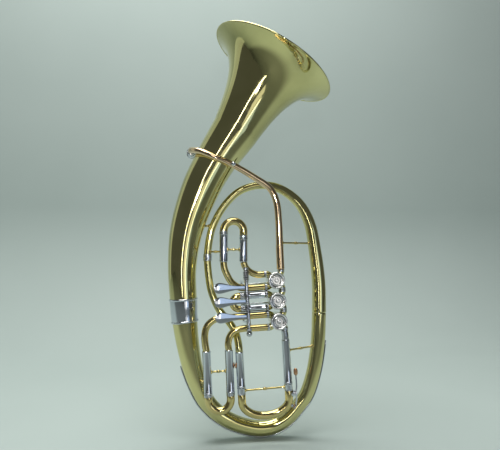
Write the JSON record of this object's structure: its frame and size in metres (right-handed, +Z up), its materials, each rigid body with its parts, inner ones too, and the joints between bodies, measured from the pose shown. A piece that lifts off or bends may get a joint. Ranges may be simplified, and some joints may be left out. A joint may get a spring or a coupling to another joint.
{
  "type": "alto_horn",
  "caption": "Oval alto horn with an upright flared bell, a column of rotary valves worked by side paddles and links, pull-out slides and a water key.",
  "frame": {"origin": "lowest point of the bottom bow's guard wire, in the plane that halves the bell and both bows", "axes": "+Z up the horn as it is played, +X away from the bell and the paddles, +Y to the player; the valves face -Y"},
  "size_m": [0.2554, 0.2066, 0.6395],
  "materials": {
    "lacquered_brass": "polished",
    "nickel_silver": "polished",
    "spring_steel": "satin",
    "key_cork": "matte"
  },
  "bodies": {
    "horn": {"axle_post_bottom": "nickel_silver", "axle_post_top": "nickel_silver", "bearing_plate_1": "lacquered_brass", "bearing_plate_2": "lacquered_brass", "bearing_plate_3": "lacquered_brass", "bell": "lacquered_brass", "bell_ferrule": "nickel_silver", "bell_stay": "lacquered_brass", "branch_ferrule": "nickel_silver", "first_branch": "lacquered_brass", "first_branch_stay": "lacquered_brass", "first_lower_tube": "lacquered_brass", "first_slide_stay": "lacquered_brass", "first_upper_tube": "lacquered_brass", "guard_wire": "nickel_silver", "leadpipe": "lacquered_brass", "leadpipe_stay": "lacquered_brass", "lever_axle": "nickel_silver", "lever_spring_1": "spring_steel", "lever_spring_2": "spring_steel", "lever_spring_3": "spring_steel", "lower_bow": "lacquered_brass", "main_left_tube": "nickel_silver", "main_right_tube": "nickel_silver", "mouthpiece_receiver": "nickel_silver", "second_lower_tube": "nickel_silver", "second_upper_tube": "nickel_silver", "slide_bow_stay": "lacquered_brass", "third_lower_tube": "lacquered_brass", "third_slide_bow_stay": "lacquered_brass", "third_slide_stay": "lacquered_brass", "third_upper_tube": "lacquered_brass", "upper_bow": "lacquered_brass", "upper_bow_stay": "lacquered_brass", "valve_cap_1": "nickel_silver", "valve_cap_2": "nickel_silver", "valve_cap_3": "nickel_silver", "valve_casing_1": "lacquered_brass", "valve_casing_2": "lacquered_brass", "valve_casing_3": "lacquered_brass"},
    "main_slide": {"main_slide": "lacquered_brass", "water_key_saddle": "nickel_silver", "water_key_spring": "spring_steel"},
    "water_key": {"water_key": "nickel_silver", "water_key_cork": "key_cork"},
    "first_slide": {"first_slide": "lacquered_brass"},
    "second_slide": {"second_slide": "lacquered_brass"},
    "third_slide": {"third_slide": "lacquered_brass"},
    "rotor_1": {"rotor_1": "lacquered_brass", "stop_arm_1": "lacquered_brass"},
    "lever_1": {"lever_1": "nickel_silver"},
    "link_1": {"link_1": "nickel_silver"},
    "rotor_2": {"rotor_2": "lacquered_brass", "stop_arm_2": "lacquered_brass"},
    "lever_2": {"lever_2": "nickel_silver"},
    "link_2": {"link_2": "nickel_silver"},
    "rotor_3": {"rotor_3": "lacquered_brass", "stop_arm_3": "lacquered_brass"},
    "lever_3": {"lever_3": "nickel_silver"},
    "link_3": {"link_3": "nickel_silver"}
  },
  "joints": [
    {"name": "press_1", "type": "hinge", "parent": "horn", "child": "lever_1", "pos_m": [-0.02698, -0.036, 0.24061], "axis": [0.061, 0, -0.9981], "range_deg": [0, 17.59], "stiffness_Nm_per_rad": 0.08, "springref_deg": -20.05},
    {"name": "press_2", "type": "hinge", "parent": "horn", "child": "lever_2", "pos_m": [-0.02512, -0.036, 0.21017], "axis": [0.061, 0, -0.9981], "range_deg": [0, 17.59], "stiffness_Nm_per_rad": 0.08, "springref_deg": -20.05},
    {"name": "press_3", "type": "hinge", "parent": "horn", "child": "lever_3", "pos_m": [-0.02326, -0.036, 0.17973], "axis": [0.061, 0, -0.9981], "range_deg": [0, 17.59], "stiffness_Nm_per_rad": 0.08, "springref_deg": -20.05},
    {"name": "turn_1", "type": "hinge", "parent": "horn", "child": "rotor_1", "pos_m": [0.01764, -0.024, 0.24334], "axis": [0, -1, 0], "range_deg": [0, 90.1]},
    {"name": "swing_1", "type": "hinge", "parent": "lever_1", "child": "link_1", "pos_m": [-0.03162, -0.004, 0.23537], "axis": [0.061, 0, -0.9981], "range_deg": [-17.6, 0]},
    {"name": "turn_2", "type": "hinge", "parent": "horn", "child": "rotor_2", "pos_m": [0.0195, -0.024, 0.2129], "axis": [0, -1, 0], "range_deg": [0, 90.1]},
    {"name": "swing_2", "type": "hinge", "parent": "lever_2", "child": "link_2", "pos_m": [-0.02976, -0.004, 0.20493], "axis": [0.061, 0, -0.9981], "range_deg": [-17.6, 0]},
    {"name": "turn_3", "type": "hinge", "parent": "horn", "child": "rotor_3", "pos_m": [0.02136, -0.024, 0.18246], "axis": [0, 1, 0], "range_deg": [0, 90.1]},
    {"name": "swing_3", "type": "hinge", "parent": "lever_3", "child": "link_3", "pos_m": [-0.0285, -0.004, 0.18437], "axis": [0.061, 0, -0.9981], "range_deg": [-17.6, 0]},
    {"name": "first_tuning", "type": "slide", "parent": "horn", "child": "first_slide", "axis": [0, 0, 1], "range_m": [0, 0.02]},
    {"name": "second_tuning", "type": "slide", "parent": "horn", "child": "second_slide", "axis": [-0.9981, 0, -0.061], "range_m": [0, 0.012]},
    {"name": "third_tuning", "type": "slide", "parent": "horn", "child": "third_slide", "axis": [0.0471, 0, -0.9989], "range_m": [0, 0.025]},
    {"name": "main_tuning", "type": "slide", "parent": "horn", "child": "main_slide", "axis": [0.0593, 0, -0.9982], "range_m": [0, 0.025]},
    {"name": "drain", "type": "hinge", "parent": "main_slide", "child": "water_key", "pos_m": [0.04923, -0.024, 0.07263], "axis": [0, -1, 0], "range_deg": [0, 5.2], "stiffness_Nm_per_rad": 0.03, "springref_deg": -14.9}
  ],
  "couplings": [
    {"joint": "turn_1", "follows": "press_1", "ratio": 5.1178},
    {"joint": "swing_1", "follows": "press_1", "ratio": -1},
    {"joint": "turn_2", "follows": "press_2", "ratio": 5.1178},
    {"joint": "swing_2", "follows": "press_2", "ratio": -1},
    {"joint": "turn_3", "follows": "press_3", "ratio": 5.1178},
    {"joint": "swing_3", "follows": "press_3", "ratio": -1}
  ]
}
